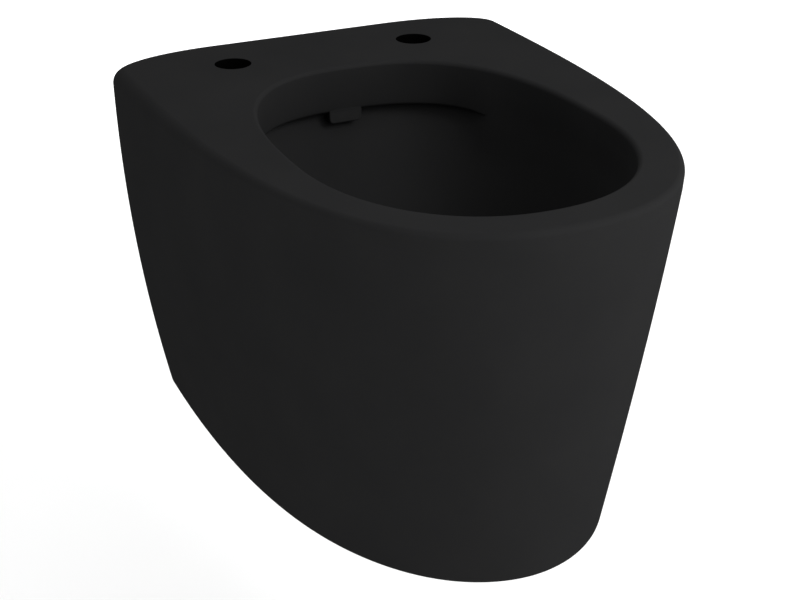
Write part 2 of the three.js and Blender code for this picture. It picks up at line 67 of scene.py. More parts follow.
INLET_Z, INLET_R, INLET_DEPTH = 35.0, 27.5, 40.0
OUTLET_Z, OUTLET_BORE_R, OUTLET_SPIGOT_R, OUTLET_END_Y = -100.0, 45.0, 51.0, -10.0
TRAP_R, TRAP_WALL, SUMP_Z = 25.0, 8.0, -184.0
BOWL_WALL = 9.0
BACK_OPENING = dict(half_width=62.0, bottom=-170.0)
DUCT = dict(half_width=25.0, low=42.0, high=61.0)
CHANNEL = dict(half_width=37.0, bottom=-14.0, front=-92.0)
BLOCK = dict(half_width=14.5, bottom=32.5, front=RIM_BACK + CURTAIN_LEAN - 0.4)
SLOT_BACK = RIM_BACK + SLOT_DEPTH
JOINT = 0.3  # the gap between neighbouring pieces

HOUSING = dict(back=-17.0, front=-72.0, top=24.0, bottom=-22.0, half_width=20.0, wall=4.0)
SLEEVE = dict(barrel_r=11.0, barrel_end=-46.0, neck_r=7.0, head_start=-83.0, head_end=-91.0, head_r=12.0)
HEAD_PASS_R = 13.0
WEDGE = dict(tip=13.0, slope_end=-20.0, shelf_top=-24.0, base=-34.0, half_width=16.0, thin=5.0, thick=12.0)
SCREW = dict(
    r=4.0, head_r=6.5, head_low=26.0, head_top=34.0, end=-62.0,
    groove_r=3.2, groove_low=17.6, groove_top=19.2,
)


# ---------------------------------------------------------------- mesh building


def mix(a, b, share):
    return a + (b - a) * share


def smooth(share):
    share = np.clip(share, 0.0, 1.0)
    return share * share * (3.0 - 2.0 * share)


def new_object(name, points, faces):
    """A mesh object from points in millimetres."""
    mesh = bpy.data.meshes.new(name)
    mesh.from_pydata((np.asarray(points, float) * MM).tolist(), [], faces)
    mesh.validate()
    obj = bpy.data.objects.new(name, mesh)
    bpy.context.scene.collection.objects.link(obj)
    return obj


def face_outwards(obj):
    bm = bmesh.new()
    bm.from_mesh(obj.data)
    bmesh.ops.recalc_face_normals(bm, faces=bm.faces)
    if bm.calc_volume(signed=True) < 0:
        bmesh.ops.reverse_faces(bm, faces=bm.faces)
    bm.to_mesh(obj.data)
    bm.free()


def loft(name, rings):
    """A closed skin through rings of points, with a flat end on the first and on the last ring."""
    count = len(rings[0])
    faces = []
    for k in range(len(rings) - 1):
        for i in range(count):
            j = (i + 1) % count
            a, b = k * count + i, k * count + j
            faces.append((a, b, b + count, a + count))
    faces.append(tuple(reversed(range(count))))
    faces.append(tuple((len(rings) - 1) * count + i for i in range(count)))
    obj = new_object(name, np.vstack(rings), faces)
    face_outwards(obj)
    return obj


def across(axis, outline, level):
    """The outline (u, v) as a ring across the axis at the level."""
    order = {"x": (2, 0, 1), "y": (0, 2, 1), "z": (0, 1, 2)}[axis]
    return np.column_stack([outline, np.broadcast_to(level, len(outline))])[:, order]


def rounded_edge(r, steps):
    """(height above the start, distance inwards) along a quarter round of radius r."""
    turns = np.linspace(0, math.pi / 2, steps + 1)
    return [(r * math.sin(t), r * (1 - math.cos(t))) for t in turns]


def moulded(name, outline, axis, low, high, edge=0.0, steps=4):
    """The outline drawn out along the axis from low to high, with both ends rounded by edge."""
    if not edge:
        return loft(name, [across(axis, outline, low), across(axis, outline, high)])
    quarter = rounded_edge(edge, steps)
    rings = [across(axis, inset(outline, inwards), low + edge - rise) for rise, inwards in reversed(quarter)]
    rings += [across(axis, inset(outline, inwards), high - edge + rise) for rise, inwards in quarter]
    return loft(name, rings)


def rounded_rectangle(u, v, r, steps=6):
    """Counter-clockwise, over the ranges u and v."""
    points = []
    corners = ((u[1] - r, v[0] + r), (u[1] - r, v[1] - r), (u[0] + r, v[1] - r), (u[0] + r, v[0] + r))
    for quarter, (cu, cv) in enumerate(corners):
        for k in range(steps + 1):
            turn = (quarter - 1 + k / steps) * math.pi / 2
            points.append((cu + r * math.cos(turn), cv + r * math.sin(turn)))
    return np.array(points)


def circle(r, sides=64, centre=(0.0, 0.0)):
    turns = np.arange(sides) * 2 * math.pi / sides
    return np.column_stack([centre[0] + r * np.cos(turns), centre[1] + r * np.sin(turns)])


def turned(name, profile, axis, centre, sides=64):
    """A solid of revolution through centre, from a profile of (radius, place along the axis)."""
    rings = [across(axis, circle(r, sides), h) + np.asarray(centre, float) for r, h in profile]
    return loft(name, rings)


def pipe(name, profile, axis, centre, sides=64):
    """Like turned(), for a profile that closes on itself around a bore."""
    rings = [across(axis, circle(r, sides), h) + np.asarray(centre, float) for r, h in profile]
    faces = []
    for k in range(len(rings)):
        a, b = k * sides, (k + 1) % len(rings) * sides
        for i in range(sides):
            j = (i + 1) % sides
            faces.append((a + i, a + j, b + j, b + i))
    obj = new_object(name, np.vstack(rings), faces)
    face_outwards(obj)
    return obj


def evaluated(obj):
    """Applies the modifiers."""
    graph = bpy.context.evaluated_depsgraph_get()
    mesh = bpy.data.meshes.new_from_object(obj.evaluated_get(graph))
    old = obj.data
    obj.modifiers.clear()
    obj.data = mesh
    bpy.data.meshes.remove(old)
    return obj


def combine(obj, operation, *tools):
    """obj with each tool added to it, cut from it or kept in common with it. The tools are used up."""
    for tool in tools:
        modifier = obj.modifiers.new("combine", "BOOLEAN")
        modifier.operation = operation
        modifier.solver = "MANIFOLD"
        modifier.object = tool
        evaluated(obj)
        bpy.data.objects.remove(tool)
    return obj


# ---------------------------------------------------------------- the outer form


def plan_at(z):
    """The plan's measures at a height, between the base's and the rim's."""
    share = min(max((RIM_Z - TOP_EDGE_R - z) / (RIM_Z - BASE_Z - TOP_EDGE_R), 0.0), 1.0)
    plan = {key: mix(RIM_PLAN[key], BASE_PLAN[key], share) for key in RIM_PLAN}
    plan["width"] = mix(RIM_PLAN["width"], BASE_PLAN["width"], share**2)
    return plan


def plan_outline(plan, flank_steps=72, corner_steps=28):
    """The whole plan outline, counter-clockwise from the nose, as an array of (x, y)."""
    half = plan["width"] / 2
    flank_y = -plan["corner_y"] - plan["flank"] * (plan["length"] - plan["corner_y"])
    a = np.array((0.0, -plan["length"]))
    b = np.array((plan["nose"] * half, -plan["length"]))
    c = np.array((half + plan["bulge"], flank_y))
    d = np.array((half, -plan["corner_y"]))
    t = np.linspace(0, 1, flank_steps + 1)[:, None]
    flank = (1 - t) ** 3 * a + 3 * t * (1 - t) ** 2 * b + 3 * t * t * (1 - t) * c + t**3 * d
    turn = np.linspace(0, math.pi / 2, corner_steps + 1)[1:]
    centre = np.array((half - plan["corner_x"], -plan["corner_y"]))
    corner = centre + np.column_stack([plan["corner_x"] * np.cos(turn), plan["corner_y"] * np.sin(turn)])
    right = np.vstack([flank, corner, [[0.0, 0.0]]])
    left = right[1:-1][::-1] * (-1, 1)
    return np.vstack([right, left])


def normals_of(ring):
    """The outward normals of a counter-clockwise ring."""
    along = np.roll(ring, -1, 0) - np.roll(ring, 1, 0)
    along /= np.linalg.norm(along, axis=1)[:, None]
    return np.column_stack([along[:, 1], -along[:, 0]])


def inset(ring, distance):
    """The ring moved inwards by a distance, or by one for each point."""
    return ring - normals_of(ring) * np.reshape(distance, (-1, 1))


def at_height(ring, z):
    return across("z", ring, z)


def grown(ring, start_y, end_y):
    """For each point of the ring, 0 in front of start_y, growing smoothly to 1 behind end_y."""
    return smooth((ring[:, 1] - start_y) / (end_y - start_y))


def outer_rings(low, high, steps):
    return [at_height(plan_outline(plan_at(z)), z) for z in np.linspace(low, high, steps + 1)]


def base_rings(steps=10):
    """The rounded lower edge: its radius is large at the wall and small under the nose."""
    height = BASE_EDGE["height"]
    low, high = plan_outline(plan_at(BASE_Z)), plan_outline(plan_at(BASE_Z + height))
    radius = mix(BASE_EDGE["nose_r"], BASE_EDGE["wall_r"], grown(low, -330, -30))
    rings = []
    for turn in np.linspace(0, math.pi / 2, steps + 1):
        rise = radius * (1 - math.cos(turn))
        ring = low + (high - low) * (rise / height)[:, None]
        rings.append(at_height(inset(ring, radius * (1 - math.sin(turn))), BASE_Z + rise))
    rings.append(at_height(high, BASE_Z + height))
    return rings


# ---------------------------------------------------------------- the opening and the bowl

EGG_POINTS = 192


def egg(y, half_width, back, front, back_power, front_power):
    """Two half superellipses that meet at y, where the shape is widest."""
    turn = np.arange(EGG_POINTS) * 2 * math.pi / EGG_POINTS
    c, s = np.cos(turn), np.sin(turn)
    reach = np.where(s >= 0, back, front)
    power = np.where(s >= 0, back_power, front_power)
    x = np.sign(c) * np.abs(c) ** (2 / power) * half_width
    return np.column_stack([x, y + np.sign(s) * np.abs(s) ** (2 / power) * reach])


def undercut(ring):
    """The depth of the space behind the curtain: it grows quickly at the curtain's ends, then slowly."""
    quick = grown(ring, CURTAIN_END_Y, CURTAIN_END_Y + 28)
    slow = grown(ring, CURTAIN_END_Y + 12, CURTAIN_END_Y + 50)
    return SLOT_DEPTH * mix(quick, slow, 0.38)


def opening_at(z):
    """The opening's wall: upright at the sides, leaning towards the wall at the back."""
    ring = egg(**OPENING)
    lean = CURTAIN_LEAN * (RIM_Z - LIP_R - z) / (RIM_Z - LIP_R - CURTAIN_BOTTOM)
    return inset(ring, -lean * grown(ring, CURTAIN_END_Y, CURTAIN_FULL_Y))


def opening_cutter():
    """The opening through the deck, whose upper edge is rounder in front than at the back."""
    top = egg(**OPENING)
    lip = mix(FRONT_LIP_R, LIP_R, grown(top, -230, -100))
    rings = [at_height(opening_at(z), z) for z in (DECK_UNDERSIDE - 2, DECK_UNDERSIDE + 5)]
    for rise, inwards in rounded_edge(1.0, 8):
        rings.append(at_height(inset(top, -lip * inwards), RIM_Z - lip * (1 - rise)))
    rings.append(at_height(inset(top, -lip), RIM_Z + 5))
    return loft("opening_cutter", rings)


# At each height: the back, the front and the half width of the bowl's inner surface.
BOWL_PROFILE = [
    (DECK_UNDERSIDE, SLOT_BACK, RIM_FRONT, OPENING["half_width"]),
    (38.0, SLOT_BACK - 3, RIM_FRONT + 1, OPENING["half_width"] - 0.5),
    (0.0, -108.0, -417.0, 107.0),
    (-60.0, -160.0, -376.0, 83.0),
    (-120.0, -203.0, -314.0, 53.0),
    (-165.0, -212.0, -275.0, 36.0),
    (SUMP_Z, -222.0, -262.0, 22.0),
]


def spline_value(xs, ys, x):
    """The value at x of a smooth curve through the points (xs, ys)."""
    last = len(xs) - 1
    k = int(np.clip(np.searchsorted(xs, x) - 1, 0, last - 1))

    def slope(i):
        a, b = max(i - 1, 0), min(i + 1, last)
        return (ys[b] - ys[a]) / (xs[b] - xs[a])

    span = xs[k + 1] - xs[k]
    t = min(max((x - xs[k]) / span, 0.0), 1.0)
    ends = ys[k] * (2 * t**3 - 3 * t**2 + 1) + ys[k + 1] * (3 * t**2 - 2 * t**3)
    return ends + span * (slope(k) * (t**3 - 2 * t**2 + t) + slope(k + 1) * (t**3 - t**2))


def bowl_ring(z, outwards=0.0):
    """The bowl's inner surface at a height, or a ring outside it: an egg at the top, an ellipse below."""
    heights, *measures = zip(*BOWL_PROFILE)
    depths = [DECK_UNDERSIDE - height for height in heights]
    depth = DECK_UNDERSIDE - max(z, SUMP_Z)
    back, front, half_width = (spline_value(depths, measure, depth) for measure in measures)
    share = depth / (DECK_UNDERSIDE - SUMP_Z)
    widest = mix(OPENING["y"], (back + front) / 2, min(2 * share, 1.0))
    back_power = mix(OPENING["back_power"], 2.0, min(share, 1.0))
    front_power = mix(OPENING["front_power"], 2.0, min(share, 1.0))
    ring = egg(widest, half_width, back - widest, widest - front, back_power, front_power)
    return inset(ring, -outwards)


def bowl_inner_ring(z):
    """Like bowl_ring, but the undercut behind the curtain grows only from the curtain's ends."""
    fade_low, fade_high = 2.0, 46.0
    top = egg(**OPENING)
    wanted = inset(top, -undercut(top))
    share = smooth((z - fade_low) / (fade_high - fade_low))
    return bowl_ring(z) + (wanted - bowl_ring(DECK_UNDERSIDE)) * share


# ---------------------------------------------------------------- ceramic pieces


def seat_hole_cutter(side):
    edge = 0.7
    profile = [(SEAT_HOLE_R, DECK_UNDERSIDE - 6)]
    profile += [(SEAT_HOLE_R + inwards, RIM_Z - edge + rise) for rise, inwards in rounded_edge(edge, 6)]
    profile += [(SEAT_HOLE_R + edge, RIM_Z + 5)]
    return turned("seat_hole", profile, "z", (side * SEAT_HOLE.x, SEAT_HOLE.y, 0), 72)


def curtain():
    """The wall under the deck, along the back of the opening. Its ends run out into the bowl."""
    rim = egg(**OPENING)
    top = DECK_UNDERSIDE + 6
    quarter = rounded_edge(CURTAIN_EDGE_R, 5)[1:]
    drop, drop_start, drop_end = 2.0, 84.0, 98.0  # towards its ends the lower edge drops a little
    sections = []
    for i in range(EGG_POINTS // 2 + 1):
        if rim[i, 1] < CURTAIN_END_Y - CURTAIN_RUN_OUT:
            continue
        bottom = CURTAIN_BOTTOM - drop * smooth((abs(rim[i, 0]) - drop_start) / (drop_end - drop_start))
        straight = bottom + CURTAIN_EDGE_R
        outward = normals_of(opening_at(bottom))[i]
        sunk = outward * CURTAIN_SUNK * smooth((CURTAIN_END_Y - rim[i, 1]) / CURTAIN_RUN_OUT)
        base = opening_at(bottom)[i] + sunk
        section = [(*(opening_at(z)[i] + sunk), z) for z in np.linspace(top, straight, 8)]
        for rise, inwards in quarter:
            section.append((*(base + outward * inwards), straight - rise))
        for rise, inwards in reversed(quarter):
            section.append((*(base + outward * (CURTAIN_THICKNESS - inwards)), straight - rise))
        for z in np.linspace(straight, top, 4):
            section.append((*(opening_at(z)[i] + sunk + outward * CURTAIN_THICKNESS), z))
        sections.append(section)
    return loft("curtain", sections)


def slice_of_height(low, high):
    return moulded("slice", rounded_rectangle((-300, 300), (-600, 100), 5), "z", low, high)


def block_form():
    """The block under the middle of the curtain, carried up until the leaning curtain covers it."""
    half, bottom = BLOCK["half_width"], BLOCK["bottom"]
    outline = rounded_rectangle((-half, half), (bottom, 60), 3.4)
    outline[:, 0] *= 1 - 0.07 * smooth((CURTAIN_BOTTOM + 3 - outline[:, 1]) / 12)
    return moulded("block", outline, "y", BLOCK["front"], SLOT_BACK - 4, 1.3, 5)


def rim_and_deck():
    """The deck, whose outer edge is tight round the nose, softer along the flanks and tighter at the wall."""
    top = plan_outline(RIM_PLAN)
    radius = mix(NOSE_EDGE_R, FLANK_EDGE_R, grown(top, -400, -60))
    radius = mix(radius, WALL_EDGE_R, grown(top, -RIM_PLAN["corner_y"], 0))
    rings = [at_height(plan_outline(plan_at(DECK_UNDERSIDE)), DECK_UNDERSIDE)]
    for rise, inwards in rounded_edge(1.0, 14):
        rings.append(at_height(inset(top, radius * inwards), RIM_Z - radius * (1 - rise)))
    slab = loft("rim_and_deck_glazed", rings)
    combine(slab, "DIFFERENCE", opening_cutter(), seat_hole_cutter(-1), seat_hole_cutter(1))
    boss = combine(block_form(), "INTERSECT", slice_of_height(CURTAIN_BOTTOM - 0.2, 54))
    combine(slab, "UNION", curtain(), boss)
    return slab


def back_opening_cutter():
    """A box with rounded corners through the back wall, flared where it meets the wall face."""
    half, bottom = BACK_OPENING["half_width"], BACK_OPENING["bottom"]
    corner, edge = 9.0, 3.0

    def section(y, grow):
        reach = half + grow
        shape = rounded_rectangle((-reach, reach), (bottom - grow, RIM_Z + corner + grow), corner + grow, 8)
        return across("y", shape, y)

    rings = [section(-40, 0), section(-edge, 0)]
    for rise, inwards in rounded_edge(edge, 6)[1:]:
        rings.append(section(-edge + rise, inwards))
    rings.append(section(8, edge))
    return loft("back_opening", rings)


def stud_bore_cutter(side):
    edge = 2.0
    profile = [(STUD_BORE_R, -30), (STUD_BORE_R, -edge)]
    profile += [(STUD_BORE_R + inwards, -edge + rise) for rise, inwards in rounded_edge(edge, 6)[1:]]
    profile += [(STUD_BORE_R + edge, 6)]
    return turned("stud_bore", profile, "y", (side * STUD_X, 0, 0))


def outer_shell():
    above_base = outer_rings(BASE_Z + BASE_EDGE["height"], DECK_UNDERSIDE, 26)[1:]
    shell = loft("outer_shell_glazed", base_rings() + above_base)
    floor_z = BASE_Z + CERAMIC
    levels = np.linspace(floor_z, RIM_Z, 18)
    inside = [at_height(inset(plan_outline(plan_at(z)), CERAMIC), z) for z in levels]
    inside[0] = at_height(inset(plan_outline(plan_at(floor_z)), CERAMIC + 6), floor_z)
    combine(shell, "DIFFERENCE", loft("inside", inside), back_opening_cutter())
    combine(shell, "DIFFERENCE", stud_bore_cutter(-1), stud_bore_cutter(1))
    return shell


def bowl_outer_form(clearance=0.0):
    wall = BOWL_WALL + clearance
    rings = [at_height(bowl_ring(z, wall), z) for z in np.linspace(DECK_UNDERSIDE, SUMP_Z, 30)]
    rings.append(at_height(bowl_ring(SUMP_Z, wall), SUMP_Z - wall + 1))
    return loft("bowl_outer_form", rings)


def bowl_inner_form():
    """The basin, with a rounded floor in the sump."""
    floor_r = 8.0
    levels = np.linspace(DECK_UNDERSIDE, SUMP_Z + floor_r, 56)
    rings = [at_height(bowl_inner_ring(z), z) for z in levels]
    above = rings[0] + (0, 0, 4)
    last = rings[-1][:, :2]
    centre = last.mean(0)
    for turn in np.linspace(0, math.pi / 2, 8)[1:-1]:
        ring = centre + (last - centre) * (0.35 + 0.65 * math.cos(turn))
        rings.append(at_height(ring, SUMP_Z + floor_r - floor_r * math.sin(turn)))
    return loft("bowl_inner_form", [above] + rings)


def bowl():
    """The basin's wall, open at the top, at the flush duct and into the trap."""
    body = bowl_outer_form()
    body.name = "bowl_glazed"
    mouth = rounded_rectangle((-DUCT["half_width"], DUCT["half_width"]), (DUCT["low"], DUCT["high"]), 8)
    duct_mouth = moulded("duct_mouth", mouth, "y", -95, -60)
    flared = [(TRAP_R + 2, -245), (TRAP_R, -232), (TRAP_R, -180)]
    trap_mouth = turned("trap_mouth", flared, "y", (0, 0, TRAP_START[1]))
    return combine(body, "DIFFERENCE", bowl_inner_form(), duct_mouth, trap_mouth)


# The trap's centre line in the middle plane as (run, radius, degrees turned upwards): along the sump,
# up to the weir, over it and down to the outlet.
TRAP_START = (-240.0, SUMP_Z + TRAP_R + 1)
TRAP_LEGS = ((35, 0, 0), (0, 45, 60), (65, 0, 0), (0, 38, -110), (22, 0, 0))


def trap_tube(radius, sides=48):
    """A bent rod along the trap's centre line."""
    y, z, heading = *TRAP_START, 0.0
    places = [(y, z, heading)]
    for run, bend_radius, degrees in TRAP_LEGS:
        steps = math.ceil(abs(degrees) / 5) or 2
        bend = math.radians(degrees) / steps
        step = 2 * bend_radius * math.sin(abs(bend) / 2) if degrees else run / steps
        for _ in range(steps):
            heading += bend / 2
            y += step * math.cos(heading)
            z += step * math.sin(heading)
            heading += bend / 2
            places.append((y, z, heading))
    rings = []
    for y, z, heading in places:
        u, v = circle(radius, sides).T
        rings.append(np.column_stack([u, y - v * math.sin(heading), z + v * math.cos(heading)]))
    return loft("trap_tube", rings)


def trapway():
    """The bent trap and the round chamber it falls into, with a spigot for the waste pipe."""
    wall = trap_tube(TRAP_R + TRAP_WALL)
    wall.name = "trapway_glazed"
    start, end = -78.0, OUTLET_END_Y
    shoulder, end_r, corner, flare = 9.0, 2.5, 6.0, 2.0
    outer, inner = OUTLET_SPIGOT_R, OUTLET_BORE_R
    outside = [(outer - inwards, start + shoulder - rise) for rise, inwards in rounded_edge(shoulder, 8)]
    outside.reverse()
    outside += [(outer - inwards, end - end_r + rise) for rise, inwards in rounded_edge(end_r, 5)]
    blind = start + TRAP_WALL + corner
    chamber = [(inner - inwards, blind - rise) for rise, inwards in rounded_edge(corner, 6)]
    chamber.reverse()
    chamber += [(inner + inwards, end - flare + rise) for rise, inwards in rounded_edge(flare, 5)]
    chamber += [(inner + flare, 10)]
    centre = (0, 0, OUTLET_Z)
    combine(wall, "UNION", turned("spigot", outside, "y", centre, 96))
    combine(wall, "DIFFERENCE", trap_tube(TRAP_R), turned("chamber", chamber, "y", centre, 96))
    return combine(wall, "DIFFERENCE", bowl_outer_form(JOINT))


def duct_ring(y, share, sides=64):
    """A section across the flush duct: round at the socket (share 0), a flat slot at the bowl (share 1)."""
    socket_r, middle = INLET_R - 4, (DUCT["low"] + DUCT["high"]) / 2
    unit = circle(1.0, sides)
    flattened = np.sign(unit) * np.abs(unit) ** mix(1.0, 0.4, share)
    u = flattened[:, 0] * mix(socket_r, DUCT["half_width"] - 1, share)
    v = mix(INLET_Z, middle, share) + flattened[:, 1] * mix(socket_r, middle - DUCT["low"] - 1, share)
    return across("y", np.column_stack([u, v]), y)


def flush_channel():
    """The block with the flush pipe's socket and the duct that flattens towards the bowl."""
    half, lip = CHANNEL["half_width"], 2.0
    outline = rounded_rectangle((-half, half), (CHANNEL["bottom"], DECK_UNDERSIDE - JOINT), 11, 8)
    body = moulded("flush_channel_glazed", outline, "y", CHANNEL["front"], 0, 2.2)
    socket = [(INLET_R, -INLET_DEPTH)]
    socket += [(INLET_R + inwards, -lip + rise) for rise, inwards in rounded_edge(lip, 5)]
    socket += [(INLET_R + lip, 10)]
    start, end = 1 - INLET_DEPTH, CHANNEL["front"] - 3
    duct = loft("duct", [duct_ring(mix(start, end, t), smooth(t)) for t in np.linspace(0, 1, 12)])
    combine(body, "DIFFERENCE", bowl_outer_form(JOINT))
    return combine(body, "DIFFERENCE", turned("socket", socket, "y", (0, 0, INLET_Z), 72), duct)


# ---------------------------------------------------------------- flush fittings


def flush_deflector():
    """The block that splits the flush, with a stem that goes up behind the curtain."""
    foot = combine(block_form(), "INTERSECT", slice_of_height(0, CURTAIN_BOTTOM - 0.25))
    foot.name = "flush_deflector_moulded"
    stem_front = RIM_BACK + CURTAIN_LEAN + CURTAIN_THICKNESS + 2 * JOINT
    half = BLOCK["half_width"]
    outline = rounded_rectangle((-half, half), (stem_front, SLOT_BACK - 4), 1.2)
    return combine(foot, "UNION", moulded("stem", outline, "z", CURTAIN_BOTTOM - 4, DUCT["high"], 0.8))


def deflector_gasket():
    """A frame seal with a groove round the middle of its rim, which leaves a lip on each side."""
    middle, half = (DUCT["low"] + DUCT["high"]) / 2, (DUCT["high"] - DUCT["low"]) / 2 - JOINT
    reach = DUCT["half_width"] - JOINT

    def frame_outline(inwards, r):
        across_x, up = reach - inwards, half - inwards
        return rounded_rectangle((-across_x, across_x), (middle - up, middle + up), r)

    seal = moulded("deflector_gasket_moulded", frame_outline(0, 7.5), "y", SLOT_BACK, SLOT_BACK + 4, 0.8)
    groove = moulded("groove", frame_outline(-1, 8), "y", SLOT_BACK + 1.6, SLOT_BACK + 2.4)
    combine(groove, "DIFFERENCE", moulded("core", frame_outline(0.6, 7), "y", SLOT_BACK + 1, SLOT_BACK + 3))
    return combine(seal, "DIFFERENCE", moulded("window", frame_outline(3, 4.6), "y", -100, -50), groove)


def inlet_seal():
    """A ring for the flush pipe: rounded lips inside, shallow gripping ribs outside."""
    outer, inner = INLET_R - 0.5, 22.0
    low, high = -36.0, -2.0
    profile = [(inner + 1.6, low), (outer - 0.8, low), (outer - 0.2, low + 0.6)]
    for y in np.arange(low + 2, high - 1, 2.0):
        profile += [(outer, y - 0.8), (outer, y), (outer - 0.5, y + 0.4), (outer - 0.5, y + 0.8)]
    profile += [(outer - 0.5, high - 0.4), (outer - 1.2, high), (inner + 2.6, high), (inner + 2, high - 0.6)]
    for y in (-6.0, -14.0, -22.0):
        profile += [(inner + 2, y), (inner + 1.3, y - 1.4), (inner + 0.3, y - 2.6), (inner, y - 3.2)]
        profile += [(inner, y - 4.0), (inner + 0.4, y - 4.6), (inner + 1.8, y - 5)]
    profile += [(inner + 2, -29), (inner + 1.2, low + 1)]
    return pipe("inlet_seal_moulded", profile, "y", (0, 0, INLET_Z), 96)


# ---------------------------------------------------------------- concealed fixings


def threaded_rod(name, crest_r, pitch, depth, low, high, axis, centre):
    """A right-handed V thread, chamfered at the low end and run out into the shank at the high end."""
    sides, steps_per_turn = 32, 10
    count = round((high - low) / pitch * steps_per_turn)
    turns = np.arange(sides) / sides * (-1 if axis == "y" else 1)
    rings = []
    for h in np.linspace(low, high, count + 1):
        wave = np.abs(2 * ((h / pitch - turns) % 1.0) - 1)
        runout = min(1.0, (high - h) / (1.5 * pitch))
        radii = crest_r - depth * runout * np.clip((wave - 0.125) / 0.625, 0, 1)
        radii = np.minimum(radii, crest_r - depth - 0.25 + (h - low))
        ring = across(axis, circle(1.0, sides) * radii[:, None], h)
        rings.append(ring + np.asarray(centre, float))
    return loft(name, rings)


def hexagon(across_flats):
    return circle(across_flats / math.sqrt(3), 6)


def screw_head(x, y):
    """A cylinder head with a knurled band, one knurl for every four sides."""
    r, low, top = SCREW["head_r"], SCREW["head_low"], SCREW["head_top"]
    sides = 36 * 4
    knurl_cut = 0.3 * (np.arange(sides) % 4 < 2)
    levels = (
        (r - 0.6, low, 0), (r, low + 0.6, 0), (r, low + 1, 0), (r, low + 1.3, 1), (r, top - 1.9, 1),
        (r, top - 1.6, 0), (r, top - 0.8, 0), (r - 0.3, top - 0.25, 0), (r - 0.8, top, 0),
    )
    rings = []
    for level_r, h, cut in levels:
        rings.append(across("z", circle(1.0, sides) * (level_r - cut * knurl_cut)[:, None], h) + (x, y, 0))
    return loft("head", rings)


def draw_screw(name, x, y):
    """An M8 x 1.25 socket-head screw with a knurled head and a groove for its clip."""
    r, groove_r, head_low, top = (SCREW[key] for key in ("r", "groove_r", "head_low", "head_top"))
    groove_low, groove_top = SCREW["groove_low"], SCREW["groove_top"]
    shank = [(r, 4), (r, groove_low), (groove_r, groove_low)]
    shank += [(groove_r, groove_top), (r, groove_top), (r, head_low + 1)]
    pitch, depth = 1.25, 0.77
    screw = threaded_rod(name, r - 0.02, pitch, depth, SCREW["end"], 5, "z", (x, y, 0))
    combine(screw, "UNION", turned("shank", shank, "z", (x, y, 0), 48), screw_head(x, y))
    socket_levels = ((6.0, top + 1), (6.0, top - 4.2), (0.6, top - 5.4))
    socket = loft("socket", [across("z", hexagon(flats), h) + (x, y, 0) for flats, h in socket_levels])
    countersink = turned("countersink", [(3.0, top - 0.5), (3.8, top + 0.3)], "z", (x, y, 0), 48)
    return combine(screw, "DIFFERENCE", socket, countersink)


def thrust_washer(name, x, y):
    """A flat washer with its four edges broken."""
    low, high = HOUSING["top"] + 0.2, SCREW["head_low"] - JOINT
    inner, outer, edge = SCREW["r"] + 0.35, 8.5, 0.25
    profile = [(inner, low + edge), (inner + edge, low), (outer - edge, low), (outer, low + edge)]
    profile += [(outer, high - edge), (outer - edge, high), (inner + edge, high), (inner, high - edge)]
    return pipe(name, profile, "z", (x, y, 0))


def retaining_clip(name, x, y):
    """A stamped spring clip: a ring open towards the wall, with three lugs that reach into the groove."""
    low, high = SCREW["groove_low"] + 0.2, SCREW["groove_top"] - 0.2
    sides = 120
    turns = np.arange(sides) * 2 * math.pi / sides
    lugs = smooth((np.cos(3 * turns + math.pi / 2) - 0.1) / 0.6)
    outside = circle(6.5, sides)
    inside = circle(1.0, sides) * mix(4.7, SCREW["groove_r"] + 0.1, lugs)[:, None]
    clip = moulded(name, outside + (x, y), "z", low, high, 0.2, 2)
    mouth = rounded_rectangle((x - 2.4, x + 2.4), (y, y + 12), 0.6)
    combine(clip, "DIFFERENCE", moulded("inside", inside + (x, y), "z", low - 1, high + 1))
    return combine(clip, "DIFFERENCE", moulded("mouth", mouth, "z", low - 1, high + 1))


def stud_sleeve(name, x):
    """A turned sleeve with an M12 x 1.75 thread for the wall stud and a hexagon socket in its head."""
    barrel, neck, head = SLEEVE["barrel_r"], SLEEVE["neck_r"], SLEEVE["head_r"]
    barrel_end, head_start, head_end = SLEEVE["barrel_end"], SLEEVE["head_start"], SLEEVE["head_end"]
    profile = [
        (head - 1.2, head_end), (head, head_end + 1.2), (head, head_start - 0.4), (head - 0.4, head_start),
        (neck + 0.6, head_start), (neck, head_start + 0.6), (neck, barrel_end - 3),
        (barrel - 0.6, barrel_end - 0.2), (barrel, barrel_end + 0.6), (barrel, -6.2),
        (barrel - 0.7, -5.6), (barrel - 0.7, -4.6), (barrel, -4.0), (barrel, -2.5), (barrel - 1, -1.5),
    ]
    centre = (x, 0, 0)
    sleeve = turned(name, profile, "y", centre, 80)
    thread = threaded_rod("bore", 6.0, 1.75, 0.9, -42, 2, "y", centre)
    countersink = turned("countersink", [(5.4, -3.0), (7.0, -1.4), (7.0, 2)], "y", centre)
    socket = moulded("socket", hexagon(7.0) + (x, 0), "y", head_end - 2, head_end + 5)
    return combine(sleeve, "DIFFERENCE", thread, countersink, socket)


def hole_bush(name, x):
    """A flanged nylon bush, slit in four so that it gives when it is pushed into the hole."""
    outer, inner, flange_r = STUD_BORE_R - 0.5, SLEEVE["barrel_r"] + 0.4, 17.5
    face, start, end = -4.5, -CERAMIC - 4.5, HOUSING["back"] + JOINT
    profile = [
        (inner, face - 0.6), (inner + 0.6, face), (outer - 1.2, face), (outer, face - 1.2),
        (outer, start + 0.5), (outer + 0.5, start), (flange_r - 0.6, start), (flange_r, start - 0.6),
        (flange_r, end + 0.6), (flange_r - 0.6, end), (inner + 0.5, end), (inner, end + 0.5),
    ]
    bush = pipe(name, profile, "y", (x, 0, 0), 80)
    for u, v in (((x - 20, x + 20), (-0.7, 0.7)), ((x - 0.7, x + 0.7), (-20, 20))):
        combine(bush, "DIFFERENCE", moulded("slit", rounded_rectangle(u, v, 0.3, 2), "y", -12, 0))
    return bush


